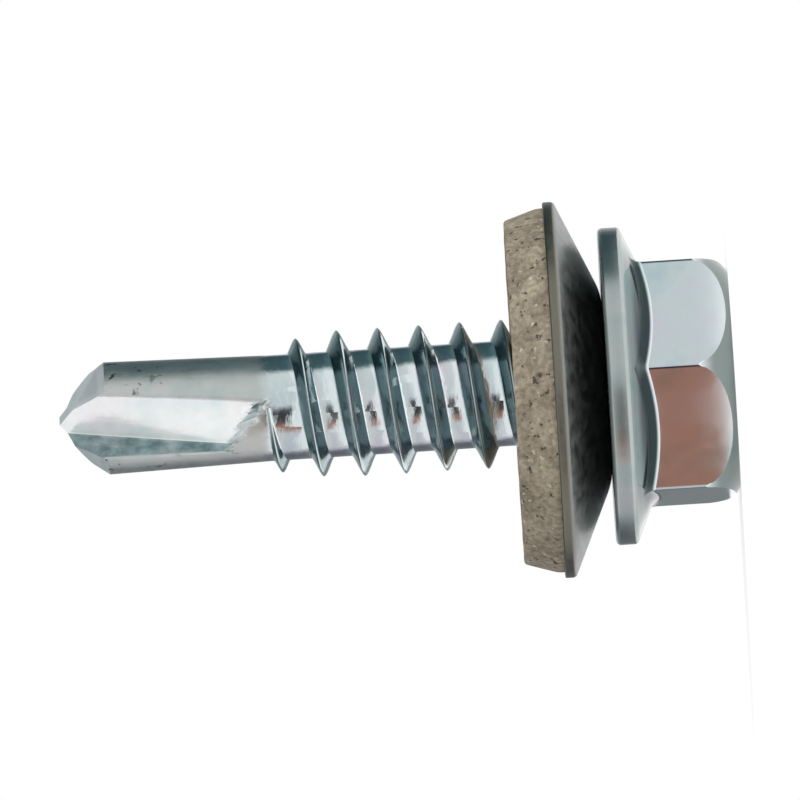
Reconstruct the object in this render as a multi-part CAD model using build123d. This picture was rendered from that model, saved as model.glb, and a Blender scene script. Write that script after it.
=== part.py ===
from build123d import *
import math
import os

# A self-drilling screw with a hexagon washer head and a bonded sealing washer.
# The screw stands on its head: z = 0 is the head's top face and +Z runs to the drill point.
# Lengths are in millimetres and angles in degrees. Angles about Z start at +X.

# Head
HEX_ACROSS_FLATS = 9.8
HEX_EDGE_ROUND = 0.25
HEAD_HEIGHT = 5.4             # top face to the flange's bearing face
TOP_FLAT_INSET = 0.3          # the top face's edge lies this far inside the flats
CROWN_HEIGHT = 1.8            # rounded crown that trims the six corners
FLANGE_OVERHANG = 1.09        # flange beyond the hexagon's corners
FLANGE_RIM = 0.9
FLANGE_RIM_ROUND = 0.2
FLANGE_SLOPE = 24.0
FLANGE_FILLET = 0.6

# Shank and thread
SHANK_LENGTH = 23.3           # bearing face to drill tip
CORE_DIAMETER = 4.5
THREAD_HEIGHT = 0.9
THREAD_PITCH = 1.75
THREAD_FLANK_ANGLE = 23.0     # each flank, off the square cut
THREAD_CREST_FLAT = 0.07
THREAD_SINK = 0.15            # foot of the ridge inside the core
THREAD_FEATHER = 0.01         # ridge left at its two ends
THREAD_START_TURNS = 0.3      # first steep rise at the drill end
THREAD_RUN_IN_TURNS = 2.0     # slow rise to full height after it
THREAD_START_SHARE = 0.6      # height reached by the steep rise
THREAD_RUN_OUT_TURNS = 0.6
THREAD_STEPS = 16             # points in each turn of the ridge
NECK_CLEARANCE = 0.4
NECK_FILLET = 0.35

# Drill point
DRILL_DIAMETER = 4.78
DRILL_LENGTH = 8.9            # tip to the start of the thread
POINT_HALF_ANGLE = 54.0
POINT_RELIEF = 12.0
CORNER_BREAK = 0.4
CORNER_BREAK_ANGLE = 35.0
FLUTE_ANGLE = -67.4           # direction that the first flute faces
FLUTE_LENGTH = 8.4
FLUTE_RUN_OUT_SLANT = 39.0
FLUTE_RUN_OUT_SLOPE = 42.0
FLUTE_FACE_ANGLE = 43.0       # cutting wall, off the direction that the flute faces
FLUTE_BACK_ANGLE_TIP = 44.0
FLUTE_BACK_ANGLE_END = 70.0
FLUTE_OFFSET_TIP = 0.5        # root of the groove, to the side of the axis
FLUTE_OFFSET_END = 1.65
WEB_TIP = 0.5                 # metal left between the two grooves' roots
WEB_END = 3.0
FLUTE_TAPER_LENGTH = 10.4     # from the tip section to the end section

# Sealing washer
WASHER_DIAMETER = 16.0
STEEL_THICKNESS = 0.5
STEEL_EDGE_ROUND = 0.15
STEEL_SLOPE = 24.2
STEEL_LAND_WIDTH = 1.1        # flat ring that bears on the flange
HOLE_CLEARANCE = 0.65         # steel hole around the core
RUBBER_BAND = 1.65            # height of the rubber's outer band below the steel's rim
RUBBER_RIM_INSET = 0.25
RUBBER_FOOT_INSET = 0.7
RUBBER_FOOT_WIDTH = 0.45
RUBBER_THICKNESS = 1.6
RUBBER_ROUND = 0.15
BORE_CLEARANCE = 0.2          # rubber bore around the thread
WASHER_TRAVEL = 1.5

MATCH_TOLERANCE = 0.01        # for picking edges by their place

# Worked out from the sizes above
hex_corner_radius = HEX_ACROSS_FLATS / 2 / math.cos(math.radians(30))
flange_radius = hex_corner_radius + FLANGE_OVERHANG
core_radius = CORE_DIAMETER / 2
crest_radius = core_radius + THREAD_HEIGHT
drill_radius = DRILL_DIAMETER / 2
hole_radius = core_radius + HOLE_CLEARANCE
bearing_z = HEAD_HEIGHT
tip_z = bearing_z + SHANK_LENGTH
thread_top_z = tip_z - DRILL_LENGTH
thread_bottom_z = bearing_z + STEEL_THICKNESS + WASHER_TRAVEL + NECK_CLEARANCE
thread_turns = (thread_top_z - thread_bottom_z) / THREAD_PITCH


def tan(angle):
    return math.tan(math.radians(angle))


def direction(angle):
    """Level unit vector at this angle about Z."""
    return Vector(math.cos(math.radians(angle)), math.sin(math.radians(angle)), 0)


def turned(points):
    """Solid of revolution about Z from (radius, z) points."""
    corners = [(radius, 0, z) for radius, z in points]
    return revolve(make_face(Polyline(*corners, close=True)), Axis.Z)


def crown():
    """Blank for the hexagon: a cylinder whose lower edge is a wide rounded crown."""
    flat_radius = HEX_ACROSS_FLATS / 2 - TOP_FLAT_INSET
    inset = hex_corner_radius - flat_radius
    crown_radius = (inset**2 + CROWN_HEIGHT**2) / (2 * inset)
    middle = math.atan2(CROWN_HEIGHT, crown_radius - inset) / 2
    arc_middle = (
        hex_corner_radius - crown_radius * (1 - math.cos(middle)),
        0,
        CROWN_HEIGHT - crown_radius * math.sin(middle),
    )
    foot = (flat_radius, 0, 0)
    shoulder = (hex_corner_radius, 0, CROWN_HEIGHT)
    outline = [
        Line((0, 0, 0), foot),
        ThreePointArc(foot, arc_middle, shoulder),
        Polyline(shoulder, (hex_corner_radius, 0, HEAD_HEIGHT), (0, 0, HEAD_HEIGHT), (0, 0, 0)),
    ]
    return revolve(make_face(Curve() + outline), Axis.Z)


def head():
    """Hexagon with its crown, standing on the conical flange."""
    prism = extrude(RegularPolygon(HEX_ACROSS_FLATS / 2, 6, major_radius=False), HEAD_HEIGHT)
    prism = fillet(prism.edges().filter_by(Axis.Z), HEX_EDGE_ROUND)
    rim_z = bearing_z - FLANGE_RIM
    cone_z = rim_z - flange_radius * tan(FLANGE_SLOPE)
    flange = turned([(0, bearing_z), (flange_radius, bearing_z), (flange_radius, rim_z), (0, cone_z)])
    flange = fillet(flange.edges().filter_by_position(Axis.Z, rim_z, bearing_z), FLANGE_RIM_ROUND)
    solid = (prism & crown()) + flange
    seam = [edge for edge in solid.edges() if is_seam(edge)]
    return fillet(seam, FLANGE_FILLET)


def is_seam(edge):
    """True for an edge where the hexagon stands on the flange's cone."""
    middle = edge @ 0.5
    radius = math.hypot(middle.X, middle.Y)
    cone_z = bearing_z - FLANGE_RIM - (flange_radius - radius) * tan(FLANGE_SLOPE)
    inside_rim = radius < flange_radius - FLANGE_RIM_ROUND
    return inside_rim and abs(middle.Z - cone_z) < MATCH_TOLERANCE


def shank():
    """Core of the thread, with a fillet under the flange, and the tapered drill blank."""
    neck_radius = core_radius + NECK_FILLET
    core = turned([
        (0, bearing_z - FLANGE_RIM / 2),
        (core_radius, bearing_z - FLANGE_RIM / 2),
        (core_radius, thread_top_z),
        (0, thread_top_z),
    ])
    collar = turned([
        (0, bearing_z),
        (neck_radius, bearing_z),
        (core_radius, bearing_z + NECK_FILLET),
        (0, bearing_z + NECK_FILLET),
    ])
    return core + collar + drill_blank()


def drill_blank():
    """Body of the drill point before its flutes and flanks are cut."""
    break_radius = drill_radius - CORNER_BREAK
    break_drop = break_radius / tan(POINT_HALF_ANGLE)
    end_radius = break_radius - break_drop * tan(CORNER_BREAK_ANGLE)
    foot_drop = break_drop + CORNER_BREAK / tan(CORNER_BREAK_ANGLE)
    return turned([
        (0, tip_z),
        (end_radius, tip_z),
        (drill_radius, tip_z - foot_drop),
        (core_radius, thread_top_z),
        (0, thread_top_z),
    ])


def crest_share(turn):
    """Height of the thread at this turn, as a share of its full height."""
    from_tip = thread_turns - turn
    start = ease(from_tip / THREAD_START_TURNS)
    run_in = ease(from_tip / THREAD_RUN_IN_TURNS)
    tip_end = THREAD_START_SHARE * start + (1 - THREAD_START_SHARE) * run_in
    return min(tip_end, ease(turn / THREAD_RUN_OUT_TURNS))


def ease(share):
    """Smooth rise from 0 to 1."""
    share = min(max(share, 0), 1)
    return share * share * (3 - 2 * share)


def thread():
    """Right-hand ridge: four ruled faces between helical edges, closed at both ends."""
    steps = int(thread_turns * THREAD_STEPS)
    foot_radius = core_radius - THREAD_SINK
    strands = [[], [], [], []]
    for step in range(steps + 1):
        turn = thread_turns * step / steps
        height = THREAD_FEATHER + (THREAD_HEIGHT - THREAD_FEATHER) * crest_share(turn)
        top_radius = core_radius + height
        half_crest = THREAD_CREST_FLAT / 2
        half_foot = half_crest + (top_radius - foot_radius) * tan(THREAD_FLANK_ANGLE)
        angle = math.radians(FLUTE_ANGLE + 360 * (turn - thread_turns))
        middle_z = thread_bottom_z + THREAD_PITCH * turn
        section = [
            (foot_radius, middle_z - half_foot),
            (top_radius, middle_z - half_crest),
            (top_radius, middle_z + half_crest),
            (foot_radius, middle_z + half_foot),
        ]
        for strand, (radius, z) in zip(strands, section):
            strand.append((radius * math.cos(angle), radius * math.sin(angle), z))
    edges = [Spline(*strand).edge() for strand in strands]
    pairs = list(zip(edges, edges[1:] + edges[:1]))
    sides = [Face.make_surface_from_curves(first, second) for first, second in pairs]
    ends = [thread_end(pairs, end) for end in (0, 1)]
    return Solid(Shell(sides + ends))


def thread_end(pairs, end):
    """Flat face that closes the ridge at its start (0) or its end (1)."""
    rungs = [Line(first @ end, second @ end).edge() for first, second in pairs]
    return Face(Wire(rungs))


def flute_section(depth, web, offset, back_angle):
    """Triangle of one groove at this distance from the tip."""
    reach = DRILL_DIAMETER
    root = Vector(web / 2, -offset, 0)
    back = root + direction(back_angle) * reach
    face = root + direction(-FLUTE_FACE_ANGLE) * reach
    return Pos(0, 0, tip_z - depth) * make_face(Polyline(root, back, face, close=True))


def flute():
    """V groove along one side of the drill, ending in a slanted run-out wall."""
    groove = loft([
        flute_section(0, WEB_TIP, FLUTE_OFFSET_TIP, FLUTE_BACK_ANGLE_TIP),
        flute_section(FLUTE_TAPER_LENGTH, WEB_END, FLUTE_OFFSET_END, FLUTE_BACK_ANGLE_END),
    ])
    wall = Plane(
        origin=(drill_radius, 0, tip_z - FLUTE_LENGTH),
        z_dir=(tan(FLUTE_RUN_OUT_SLOPE), tan(FLUTE_RUN_OUT_SLANT), 1),
    )
    groove = split(groove, wall, keep=Keep.TOP)
    return Rot(0, 0, FLUTE_ANGLE) * groove


def flank():
    """Everything beyond one flat flank of the point, which falls away behind its lip."""
    lip = Vector(0, -math.sin(math.radians(POINT_HALF_ANGLE)), -math.cos(math.radians(POINT_HALF_ANGLE)))
    behind = Vector(-math.cos(math.radians(POINT_RELIEF)), 0, -math.sin(math.radians(POINT_RELIEF)))
    plane = Plane(origin=(0, 0, tip_z), z_dir=behind.cross(lip))
    size = 4 * DRILL_DIAMETER
    block = plane * Box(size, size, size, align=(Align.CENTER, Align.CENTER, Align.MIN))
    return Rot(0, 0, FLUTE_ANGLE) * block


def screw():
    """The one-piece screw."""
    solid = head() + shank() + thread()
    for turn in (0, 180):
        solid -= Rot(0, 0, turn) * flute()
        solid -= Rot(0, 0, turn) * flank()
    return solid


def washer_sizes():
    """Radii of the rim and the land, and the cone's drop, shared by the steel cup and the rubber."""
    rim = WASHER_DIAMETER / 2
    land = hole_radius + STEEL_LAND_WIDTH
    drop = (rim - land) * tan(STEEL_SLOPE)
    return rim, land, drop


def steel_washer():
    """Dished steel cup: a flat land against the flange and a cone that falls away from it."""
    rim, land, drop = washer_sizes()
    low = bearing_z
    cup = turned([
        (hole_radius, low),
        (land, low),
        (rim, low + drop),
        (rim, low + drop + STEEL_THICKNESS),
        (land, low + STEEL_THICKNESS),
        (hole_radius, low + STEEL_THICKNESS),
    ])
    rings = cup.edges().filter_by(GeomType.CIRCLE)
    return fillet([ring for ring in rings if ring.radius > rim - MATCH_TOLERANCE], STEEL_EDGE_ROUND)


def rubber_seal():
    """Rubber bonded to the cup: its outer band, its foot, and a hollow that follows the cone."""
    rim, land, drop = washer_sizes()
    bore = crest_radius + BORE_CLEARANCE
    top_z = bearing_z + STEEL_THICKNESS
    band_radius = rim - RUBBER_RIM_INSET
    band_z = top_z + (band_radius - land) * tan(STEEL_SLOPE)
    foot_radius = rim - RUBBER_FOOT_INSET
    foot_z = top_z + drop + RUBBER_BAND
    inner_radius = foot_radius - RUBBER_FOOT_WIDTH
    bore_z = top_z + RUBBER_THICKNESS
    seal = turned([
        (bore, top_z),
        (land, top_z),
        (band_radius, band_z),
        (foot_radius, foot_z),
        (inner_radius, foot_z),
        (bore, bore_z),
    ])
    rings = seal.edges().filter_by(GeomType.CIRCLE)
    return fillet(rings.group_by(Axis.Z)[-1], RUBBER_ROUND)


os.makedirs("parts", exist_ok=True)
export_step(screw(), "parts/screw.step")
export_step(steel_washer(), "parts/steel_washer.step")
export_step(rubber_seal(), "parts/rubber_seal.step")
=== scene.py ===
import math

import bpy
import numpy as np
from mathutils import Matrix, Vector

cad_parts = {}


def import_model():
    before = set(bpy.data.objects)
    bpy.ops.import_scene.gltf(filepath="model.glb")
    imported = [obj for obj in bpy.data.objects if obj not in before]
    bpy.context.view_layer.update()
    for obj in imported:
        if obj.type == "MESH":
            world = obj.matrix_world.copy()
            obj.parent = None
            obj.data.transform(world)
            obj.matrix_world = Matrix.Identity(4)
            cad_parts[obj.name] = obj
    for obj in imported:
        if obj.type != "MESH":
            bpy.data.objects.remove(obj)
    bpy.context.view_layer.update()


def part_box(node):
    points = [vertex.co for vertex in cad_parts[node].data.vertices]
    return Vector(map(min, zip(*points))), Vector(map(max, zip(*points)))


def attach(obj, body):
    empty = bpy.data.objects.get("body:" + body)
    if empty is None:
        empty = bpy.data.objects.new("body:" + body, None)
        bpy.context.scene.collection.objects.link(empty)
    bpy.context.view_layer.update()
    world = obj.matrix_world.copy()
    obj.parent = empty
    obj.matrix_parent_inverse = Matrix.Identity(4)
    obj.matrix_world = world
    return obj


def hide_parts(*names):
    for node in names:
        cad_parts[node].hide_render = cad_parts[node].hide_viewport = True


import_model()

# Lengths are in millimetres until mesh_object makes them metres, unless a comment says metres. Angles are in
# degrees unless math.radians makes them radians, and those round the screw are about +Z.
MM = 0.001
SEED = 7


def node_box(node):
    """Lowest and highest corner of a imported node, in millimetres."""
    low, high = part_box(node)
    return Vector(low) / MM, Vector(high) / MM


# Heights that the frame gives
TIP_Z = node_box("screw")[1].z
BEARING_Z = node_box("steel_washer")[0].z
CUP_RIM_Z = node_box("steel_washer")[1].z
FOOT_Z = node_box("rubber_seal")[1].z

# Screw head: a hexagon with a rounded crown, on a conical flange
APOTHEM = 4.9
CORNER_ROUND = 0.2
TOP_RADIUS = 4.6
CROWN_HEIGHT = 1.8
HEAD_FILLET = 0.6
FLANGE_RADIUS = 6.748
CONE_ANGLE = 24
CONE_SLOPE = math.tan(math.radians(CONE_ANGLE))
RIM_THICKNESS = 0.9
RIM_ROUND = 0.2
RIM_ARC_RISE = 0.6            # centre of the rim's first round above RIM_Z, as a share of RIM_ROUND
RIM_Z = BEARING_Z - RIM_THICKNESS

# Rings of the head's mesh: radii on the flat faces, shares of the way along the others
FACE_RINGS = (0.8, 1.8, 2.8, 3.6, 4.2)
EDGE_RING = 0.05              # the last ring of the top face lies this far inside its edge
CROWN_START = 0.12            # part of the smooth rise that the crown's rings leave out
CROWN_RINGS = (0.03, 0.15, 0.3, 0.45, 0.6, 0.75, 0.9, 1.0)
CROWN_EDGE = 0.07             # the flats' first ring lies this far above the crown
SIDE_RINGS = (0.1, 0.3, 0.5, 0.7, 0.9)
FILLET_RINGS = 9
CONE_RINGS = (0.15, 0.5, 0.85)
ROUND_RINGS = 6
BEARING_RINGS = (6.3, 5.0, 3.8)
NECK_RING = 0.1               # the bearing face's last ring lies this far outside the neck's fillet
CORNER_CROWDING = 0.8         # how far the columns draw together at the hexagon's corners, from 0 to 1

# Shank and thread
CORE_RADIUS = 2.25
NECK_LENGTH = 2.4
NECK_FILLET = 0.35
PITCH = 1.75
CREST_HEIGHT = 0.9
CREST_ROUND = 0.08
FLANK_SLOPE = math.tan(math.radians(23))
START_SHARE = 0.6             # share of its height that the thread's first steep rise reaches
START_TURNS = 0.3
RUN_IN_TURNS = 2
RUN_OUT_TURNS = 0.6
CREST_WAVES = ((0.012, 9.1, 0), (0.01, 23.7, 1))  # share of the height, speed along the turns, shift
FOOT_FLARE = 0.09             # softness of the corner between the ridge and the core
RIDGE_SINK = 0.012
RIDGE_DEPTH = 0.2             # how far the ridge's inner side lies inside the core
RIDGE_STEPS = 160             # sections to a turn
FLARE_STEPS = (0.28, 0.16, 0.08)
FLANK_SHARES = (1.0, 0.8, 0.62, 0.45, 0.3, 0.18, 0.08)

# Drill point
DRILL_LENGTH = 8.9
DRILL_RADIUS = 2.39
TAPER_START = 2               # depth below the tip from which the drill narrows toward the core
POINT_HALF_ANGLE = math.radians(54)
POINT_RELIEF = math.radians(12)
CORNER_BREAK = 0.4
BREAK_RADIUS = DRILL_RADIUS - CORNER_BREAK
BREAK_SLOPE = math.tan(math.radians(35))
BREAK_TOP = BREAK_RADIUS / math.tan(POINT_HALF_ANGLE)
BREAK_DEPTH = round(BREAK_TOP + CORNER_BREAK / BREAK_SLOPE, 3)

# Grooves of the drill: the first one faces FLUTE_ANGLE, and the outline is drawn with it facing +X
FLUTE_ANGLE = -67.4
GROOVE_LENGTH = 10.4          # depth over which the root moves outward and the back wall opens
ROOT_AT_TIP = np.array([0.25, -0.5])
ROOT_SHIFT = np.array([1.25, -1.4])
BACK_ANGLE = 44
BACK_OPENING = 26
FACE_ANGLE = -43
ROOT_ROUND = 0.12
END_ANGLES = (-50, -25, -7, 13, 25, 130)  # places round a groove's end, from the way that it faces
END_HEIGHTS = (21.5, 21.1, 20.35, 19.75, 19.7, 21.5)  # heights of the end at those places
END_CIRCLE_DEPTH = 8.0        # depth of the circle on which those places are found
END_WALL = 0.25               # least height of the end wall
END_WALL_SLOPE = 1.15
COARSE_RAGGED = (0.07, 3)     # roughness of the ends' edge, with its reach in columns
FINE_RAGGED = (0.03, 1)
BURR_RAGGED = (0.045, 2)
BURR_WIDTH = 0.09

# Mesh columns round the screw: cutting wall, root, back wall and land of each groove
COLUMNS = 240
HALF = COLUMNS // 2
FACE_COLUMNS = 20
ROOT_COLUMNS = 5
BACK_COLUMNS = 28
GROOVE_COLUMNS = FACE_COLUMNS + ROOT_COLUMNS + BACK_COLUMNS
LAND_COLUMNS = HALF - GROOVE_COLUMNS

# Mesh rows along the drill. Those of the grooves' ends lie in millimetres below the ends where they are
# negative, and in shares of the end wall above them where they are positive.
END_ROWS = (-0.6, -0.3, -0.15, -0.08, -0.03, 0.0, 0.04, 0.12, 0.25, 0.4, 0.6, 0.8, 1.0)
BODY_ROWS = 16
POINT_ROWS = 10
FIRST_DEPTH = 0.5             # first guess of where the outline meets the point's flanks
POINT_PASSES = 30             # rounds that better it
SHANK_ROWS = 12
SHANK_SHARES = (0.04, 0.96)   # first and last row of the shank
ANGLE_SLACK = 1e-6            # a column this little below 0 radians still counts as the first one
SHARP_ANGLE = math.radians(32)

# Steel washer
WASHER_RADIUS = 8.0
WASHER_HOLE = 2.9
WASHER_LAND = 4.0
STEEL_THICKNESS = 0.5
STEEL_SLOPE = math.tan(math.radians(24.2))
STEEL_ROUND = 0.14
STEEL_BEND = 0.5
STEEL_RUN = 0.5               # longest straight run of the washer's mesh
STEEL_CURVE_POINTS = 7        # points on each rounded corner of it

# Rubber seal
RUBBER_RADIUS = 7.75
RUBBER_FOOT = 7.3
RUBBER_FOOT_INNER = 6.85
RUBBER_BORE = 3.35
RUBBER_THICKNESS = 1.6
RUBBER_BAND = 0.35            # height of the seal's straight outer band
RUBBER_ROUND = 0.15
BAND_ROUND = 0.2
LAND_ROUND = 0.3
SEAM_ROUND = 0.05
RUBBER_RUN = 0.3              # longest straight run of the seal's mesh
WAVE_TURNS = (2, 3, 5, 9, 17, 31, 53)
WAVE_SIZE = 0.014
WAVE_RISE = 0.6               # waviness along the axis, as a share of that outward
WAVE_CLEARANCE = 0.1          # the waviness starts this far above the cup's rim
WAVE_FADE = 0.8
RUBBER_CURVE_POINTS = 6       # points on each rounded corner of the seal's mesh
AROUND = 256                  # columns of the steel washer and of the seal

# Noises, as lumps per millimetre, detail and, where it isn't even, stretch
TINT_NOISE = (0.45, 4)
MOTTLE_NOISE = (1.6, 6)
PIT_NOISE = (2.6, 7)
GRAIN_NOISE = (3.2, 6)
SHEEN_NOISE = (0.6, 2)
BROAD_NOISE = (0.4, 2)
STREAK_NOISE = (3.0, 5, (1, 1, 0.12))
ROLLED_NOISE = (2.0, 6, (1, 1, 2.2))
STEEL_NOISE = (2.0, 6)
RUBBER_MOTTLE_NOISE = (0.8, 6)
RUBBER_GRAIN_NOISE = (4.5, 5)
SPECK_NOISE = (3.0, 7)
PALE_NOISE = (3.4, 5)
RUBBER_RELIEF_NOISE = (5.0, 6)

# Pairs of values between which a zone sets in, or ends for FILLET_RADII. They are heights, radii, depths
# below the tip, levels of a noise or, from -1 to 1, how far the surface faces the tip. CUTTING_FACING is how
# far it faces the way of the cutting walls.
FILLET_HEIGHTS = (2.9, 3.2)
FILLET_RADII = (5.5, 6.2)
FILLET_FACING = (-0.05, -0.3)
SHADED_FACING = (-0.12, -0.5)
STEEP_FACING = (0.35, 0.8)
CREST_RADII = (2.9, 3.1)
LAND_RADII = (2.12, 2.22)
CUTTING_FACING = (0.3, 0.6)
POINT_FACING = (0.45, 0.6)
DRILL_DEPTHS = (9.2, 8.4)
PIT_DEPTHS = (7.0, 1.5)
PIT_LEVELS = (0.4, 0.33)
CUP_SHADE_RADII = (5.6, 8.1)
CONE_FACING = (-0.2, -0.6)
SPECK_LEVELS = (0.39, 0.33)
PALE_LEVELS = (0.62, 0.72)
GRAIN_LEVELS = (0.3, 0.7)
NECK_BLEND = 0.02             # half the height over which the head's looks give way to the shank's
RIM_BLEND = 0.1               # the same where the rim's grey ends
RIM_START = 0.2               # the rim's grey starts this far before its edge

# Roughness, wear and relief; a bump is its strength and its distance
GRAIN_ROUGHNESS = (0.02, 0.1)
SHEEN_ROUGHNESS = (0.06, 0.1)
DRILL_ROUGHNESS = 0.08
LAND_ROUGHNESS = 0.16
RIM_ROUGHNESS = 0.18
STEEL_ROUGHNESS = (0.3, 0.42)
# the grooves' back walls turn this far matt, so that their painted light shows
BACK_WALL_MATT_SHARE = 0.6
POINT_WEAR = 0.5
HEAD_GRAIN = 0.01             # share of the grain's relief that the head keeps
BROAD_RELIEF = 0.3
PIT_RELIEF = 2.0
ROLLED_RELIEF = 2.0
SPECK_RELIEF = 1.5
ZINC_BUMP = (0.3, 0.02)
STEEL_BUMP = (0.08, 0.008)
RUBBER_BUMP = (0.5, 0.05)

# Colours of the zinc plate
ZINC_TINT = ((0.3, (0.6, 0.7, 0.72)), (0.5, (0.74, 0.78, 0.79)), (0.7, (0.77, 0.75, 0.8)))
HEAD_BRIGHT = (0.92, 0.95, 0.96)
# painted shade on the head's faces that turn away from the tip
HEAD_SHADED = (0.33, 0.37, 0.35)
# painted shade in the fillet between the flats and the flange
FILLET_PAINTED_SHADE = (0.05, 0.07, 0.07)
RIM_GREY = (0.58, 0.6, 0.58)
CORE_BRIGHT = (0.98, 1.0, 1.0)
# painted shade on the thread's flanks, in a teal tone
FLANK_PAINTED_SHADE = (0.4, 0.5, 0.52)
# painted highlight along the thread's crest
CREST_PAINTED_HIGHLIGHT = (0.8, 0.85, 0.85)
# painted light: the grooves' back walls made brighter than white
BACK_WALL_PAINTED_LIGHT = (1.24, 1.2, 1.18)
CUTTING_WALL = ((0.35, (0.2, 0.29, 0.3)), (0.65, (0.5, 0.58, 0.58)))
LAND_WARM = (0.86, 0.84, 0.8)
POINT_PALE = (0.8, 0.82, 0.82)
PIT_DARK = (0.12, 0.11, 0.1)

# Colours of the washer's steel and rubber
CUP_SHADE = (0.4, 0.5)        # the cone's brightness at the two CUP_SHADE_RADII
CONE_STEEL = ((0.3, (0.4, 0.42, 0.41)), (0.7, (0.52, 0.54, 0.51)))
RIM_OLIVE = (0.2, 0.19, 0.155)
RUBBER_MOTTLE = ((0.3, (0.17, 0.145, 0.105)), (0.5, (0.25, 0.215, 0.16)), (0.7, (0.32, 0.28, 0.21)))
RUBBER_GRAIN = ((0.35, (0.72, 0.7, 0.68)), (0.65, (1.2, 1.2, 1.2)))
SPECK_DARK = (0.06, 0.05, 0.04)
SPECK_PALE = (0.46, 0.42, 0.34)
WHITE = (1.0, 1.0, 1.0)

# View of the photograph: azimuth about +Z and roll of the camera, its distance in metres, the height of the
# picture's middle and the picture's width in millimetres
VIEW_AZIMUTH = math.radians(22.6)
VIEW_ROLL = math.radians(3.6)
VIEW_DISTANCE = 1.15
VIEW_HEIGHT = 14.2
FRAME_WIDTH = 34.0
SENSOR_WIDTH = 36
CLIP_END = 10                 # in metres

# Floor
FLOOR_RADIUS = 40.0
FLOOR_GAP = 0.01              # the floor lies this far under the head, so that the two faces stay apart
FLOOR_SIDES = 96
FLOOR_COLOUR = (0.82, 0.82, 0.82)
FLOOR_GLOW = 0.42

# Lights, in metres and watts; directions are shares of the way to the camera, the picture's up and +Z
SOFT_LIGHT = 0.6              # the world's strength for diffuse rays
LAMP_DISTANCE = 0.5
LAMP_SIZE = 0.3
KEY_DIRECTION = (0.5, 0.8, 0.5)
KEY_POWER = 1.6
FILL_DIRECTION = (0.8, -0.6, 0.4)
FILL_POWER = 0.8

# What bright metal mirrors, by the angle about the screw's axis from the photograph's camera towards the
# picture's top. White stands behind the screw; the rest is a soft studio with dark and warm zones.
AROUND_STOPS = (
    (-180, (1.0, 1.0, 1.0)),
    (-174, (0.95, 0.95, 1.0)),
    (-167, (0.28, 0.31, 0.31)),
    (-142, (0.17, 0.18, 0.2)),
    (-124, (0.2, 0.2, 0.24)),
    (-110, (0.8, 0.79, 0.84)),
    (-58, (0.85, 0.85, 0.9)),
    (-51, (0.54, 0.29, 0.22)),
    (-41, (0.48, 0.22, 0.16)),
    (-37, (0.12, 0.08, 0.08)),
    (-24, (0.06, 0.05, 0.06)),
    (-6, (0.07, 0.07, 0.08)),
    (4, (0.9, 0.93, 0.96)),
    (60, (0.95, 1.0, 1.0)),
    (78, (0.95, 1.0, 1.0)),
    (90, (0.08, 0.15, 0.17)),
    (150, (0.05, 0.1, 0.12)),
    (168, (0.95, 0.97, 1.0)),
    (180, (1.0, 1.0, 1.0)),
)

# The same for directions that rise or fall, and where the one gives way to the other
OFF_LEVEL_STOPS = (
    (-180, (0.5, 0.55, 0.56)),
    (-160, (0.3, 0.34, 0.36)),
    (-124, (0.2, 0.22, 0.24)),
    (-108, (1.0, 1.0, 1.0)),
    (78, (1.0, 1.0, 1.0)),
    (90, (0.1, 0.17, 0.18)),
    (150, (0.1, 0.16, 0.17)),
    (165, (0.3, 0.35, 0.36)),
    (180, (0.5, 0.55, 0.56)),
)
OFF_LEVEL_RISE = (0.1, 0.17)

# Share of that light by the rise of the mirrored direction, from straight down at -1 to straight up at 1
HEIGHT_STOPS = (
    (-1.0, (0.7, 0.7, 0.7)),
    (-0.3, (0.7, 0.7, 0.7)),
    (0.0, (0.78, 0.78, 0.78)),
    (0.16, (1.0, 1.0, 1.0)),
    (0.36, (1.0, 1.0, 1.0)),
    (0.55, (0.35, 0.42, 0.44)),
    (0.85, (0.35, 0.4, 0.42)),
    (0.94, (0.6, 0.63, 0.65)),
    (1.0, (0.7, 0.72, 0.74)),
)


# ---------------------------------------------------------------- mesh helpers


def mesh_object(name, points, faces):
    """Mesh object in metres from points in millimetres."""
    mesh = bpy.data.meshes.new(name)
    mesh.from_pydata([tuple(p) for p in np.asarray(points) * MM], [], faces)
    mesh.validate()
    return linked(name, mesh)


def linked(name, data):
    """New object in the scene."""
    made = bpy.data.objects.new(name, data)
    bpy.context.scene.collection.objects.link(made)
    return made


def dressed(piece, body, node, coat):
    """The piece rides on its body, stands for its node and wears its material."""
    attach(piece, body)
    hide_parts(node)
    piece.data.materials.clear()
    piece.data.materials.append(coat)


def ring(radius, z, angles):
    """Points at these radii, heights and angles."""
    radius, z, angles = np.broadcast_arrays(radius, z, angles)
    return np.stack([radius * np.cos(angles), radius * np.sin(angles), z], axis=-1).astype(float)


def lathe(profile, around):
    """Closed ring of points and faces from a closed profile of (radius, z)."""
    count = len(profile)
    angles = np.arange(around) * 2 * np.pi / around
    points = ring(profile[:, 0], profile[:, 1], angles[:, None])
    faces = []
    for i in range(around):
        a = i * count
        b = (i + 1) % around * count
        for j in range(count):
            k = (j + 1) % count
            faces.append((a + j, b + j, b + k, a + k))
    return points.reshape(-1, 3), faces


def rounded(corners, steps):
    """Closed profile with a soft curve at each corner; corners are (radius, z, round)."""
    profile = []
    count = len(corners)
    for i in range(count):
        before = np.array(corners[i - 1][:2])
        corner = np.array(corners[i][:2])
        after = np.array(corners[(i + 1) % count][:2])
        size = corners[i][2]
        first = corner + (before - corner) * size / np.linalg.norm(before - corner)
        last = corner + (after - corner) * size / np.linalg.norm(after - corner)
        for share in np.linspace(0, 1, steps):
            profile.append(curve(first, corner, last, share))
    return np.array(profile)


def curve(first, corner, last, share):
    """Point at a share of the soft curve from first to last that bends towards the corner."""
    return (1 - share) ** 2 * first + 2 * share * (1 - share) * corner + share * share * last


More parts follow.
